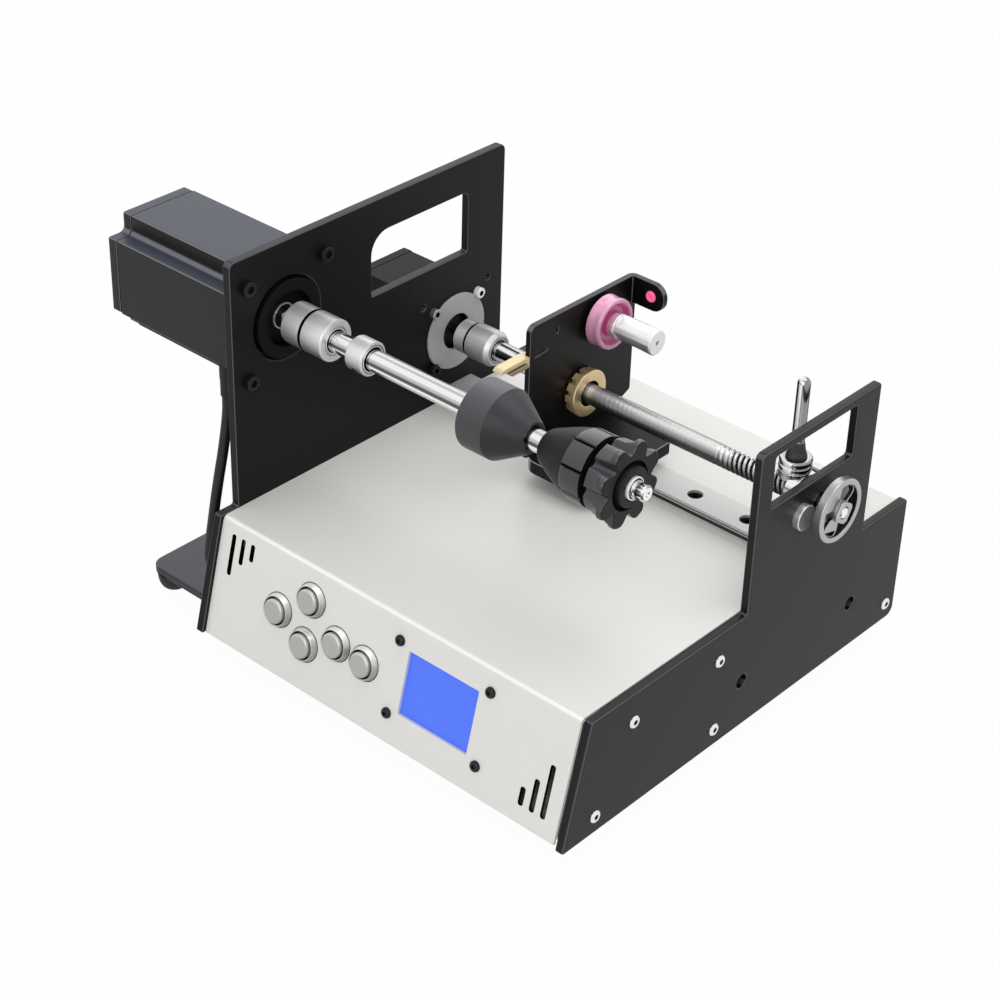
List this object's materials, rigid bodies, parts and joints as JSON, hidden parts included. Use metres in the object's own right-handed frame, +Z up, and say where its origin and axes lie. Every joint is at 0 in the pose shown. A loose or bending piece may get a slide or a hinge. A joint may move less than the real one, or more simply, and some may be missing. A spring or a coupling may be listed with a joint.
{
  "type": "wire coil winding machine",
  "caption": "Bench winder for wire coils: motor spindle with clamping cones, lead screw that moves a wire guide on a rail, sloping control panel, outrigger base.",
  "frame": {"origin": "middle of the bounding box at the level that the feet stand on", "axes": "+X along the spindle from the motors to the hand wheel, +Y from the control panel to the back, +Z up"},
  "size_m": [0.3196, 0.246, 0.1945],
  "materials": {
    "housing_paint": "satin",
    "plate_paint": "satin",
    "base_paint": "satin",
    "carriage_paint": "satin",
    "foot_rubber": "matte",
    "motor_body": "satin",
    "motor_cap": "satin",
    "bright_screw": "satin",
    "black_screw": "satin",
    "shaft_steel": "polished",
    "turned_aluminium": "satin",
    "button_metal": "satin",
    "bearing_steel": "polished",
    "supply_case": "satin",
    "cone_plastic": "matte",
    "inlet_plastic": "matte",
    "driver_black": "satin",
    "board_green": "gloss",
    "display_blue": "gloss",
    "nut_brass": "satin",
    "guide_pink": "gloss"
  },
  "bodies": {
    "frame": {"base_plate": "base_paint", "rubber_feet": "foot_rubber", "chassis_pan": "housing_paint", "housing_cover": "housing_paint", "left_side_plate": "plate_paint", "right_side_plate": "plate_paint", "plate_screws": "bright_screw", "power_inlet": "inlet_plastic", "power_supply": "supply_case", "control_board": "board_green", "motor_drivers": "driver_black", "lcd_display": "display_blue", "lcd_screws": "black_screw", "button_bezels": "button_metal", "spindle_motor": "motor_body", "spindle_motor_cap": "motor_cap", "spindle_motor_bolts": "black_screw", "guide_motor": "motor_body", "guide_motor_cap": "motor_cap", "guide_motor_screws": "bright_screw", "guide_motor_disc": "bearing_steel", "end_block": "turned_aluminium", "end_bearing": "bearing_steel", "end_block_bolts": "bright_screw", "guide_post": "shaft_steel", "post_nut": "turned_aluminium", "guide_rail": "bearing_steel", "rail_screws": "black_screw", "motor_cable": "foot_rubber", "cable_gland": "foot_rubber", "cable_grommet": "foot_rubber"},
    "spindle": {"spindle_motor_shaft": "shaft_steel", "spindle_coupling_a": "turned_aluminium", "coupling_spider": "foot_rubber", "spindle_coupling_b": "turned_aluminium", "spindle_shaft": "shaft_steel", "shaft_collar": "turned_aluminium"},
    "left_cone": {"left_cone": "cone_plastic"},
    "right_cone": {"right_cone": "cone_plastic"},
    "hand_nut": {"hand_nut": "cone_plastic", "hand_nut_insert": "shaft_steel"},
    "lead_screw": {"guide_motor_shaft": "shaft_steel", "guide_coupling_a": "turned_aluminium", "guide_coupling_b": "turned_aluminium", "lead_screw": "shaft_steel", "hand_wheel": "turned_aluminium", "wheel_nut": "bearing_steel"},
    "carriage": {"guide_plate": "carriage_paint", "guide_arm": "carriage_paint", "carriage_base": "carriage_paint", "lead_nut": "nut_brass", "wire_finger": "nut_brass", "wire_eyelet": "guide_pink", "pulley_axle": "turned_aluminium"},
    "guide_pulley": {"guide_pulley": "guide_pink"},
    "button_left": {"button_left": "button_metal"},
    "button_up": {"button_up": "button_metal"},
    "button_down": {"button_down": "button_metal"},
    "button_right": {"button_right": "button_metal"},
    "button_enter": {"button_enter": "button_metal"}
  },
  "joints": [
    {"name": "spindle_turn", "type": "hinge", "parent": "frame", "child": "spindle", "pos_m": [0.0282, -0.064, 0.156], "axis": [1, 0, 0], "continuous": true},
    {"name": "left_cone_slide", "type": "slide", "parent": "spindle", "child": "left_cone", "axis": [1, 0, 0], "range_m": [-0.06, 0]},
    {"name": "right_cone_slide", "type": "slide", "parent": "spindle", "child": "right_cone", "axis": [1, 0, 0], "range_m": [-0.006, 0.009]},
    {"name": "hand_nut_turn", "type": "hinge", "parent": "right_cone", "child": "hand_nut", "pos_m": [0.1152, -0.064, 0.156], "axis": [1, 0, 0], "range_deg": [-1728, 2592]},
    {"name": "screw_turn", "type": "hinge", "parent": "frame", "child": "lead_screw", "pos_m": [0.0282, 0.0465, 0.106], "axis": [1, 0, 0], "range_deg": [-3240, 1800]},
    {"name": "carriage_slide", "type": "slide", "parent": "frame", "child": "carriage", "axis": [1, 0, 0], "range_m": [-0.04, 0.072]},
    {"name": "pulley_turn", "type": "hinge", "parent": "carriage", "child": "guide_pulley", "pos_m": [0.014, 0.0586, 0.1392], "axis": [1, 0, 0], "continuous": true},
    {"name": "button_left_press", "type": "slide", "parent": "frame", "child": "button_left", "axis": [0, 0.9697, -0.2441], "range_m": [0, 0.001], "stiffness_N_per_m": 400},
    {"name": "button_up_press", "type": "slide", "parent": "frame", "child": "button_up", "axis": [0, 0.9697, -0.2441], "range_m": [0, 0.001], "stiffness_N_per_m": 400},
    {"name": "button_down_press", "type": "slide", "parent": "frame", "child": "button_down", "axis": [0, 0.9697, -0.2441], "range_m": [0, 0.001], "stiffness_N_per_m": 400},
    {"name": "button_right_press", "type": "slide", "parent": "frame", "child": "button_right", "axis": [0, 0.9697, -0.2441], "range_m": [0, 0.001], "stiffness_N_per_m": 400},
    {"name": "button_enter_press", "type": "slide", "parent": "frame", "child": "button_enter", "axis": [0, 0.9697, -0.2441], "range_m": [0, 0.001], "stiffness_N_per_m": 400}
  ],
  "couplings": [
    {"joint": "hand_nut_turn", "follows": "right_cone_slide", "rad_per_m": 5026.5},
    {"joint": "screw_turn", "follows": "carriage_slide", "rad_per_m": -785.4}
  ]
}
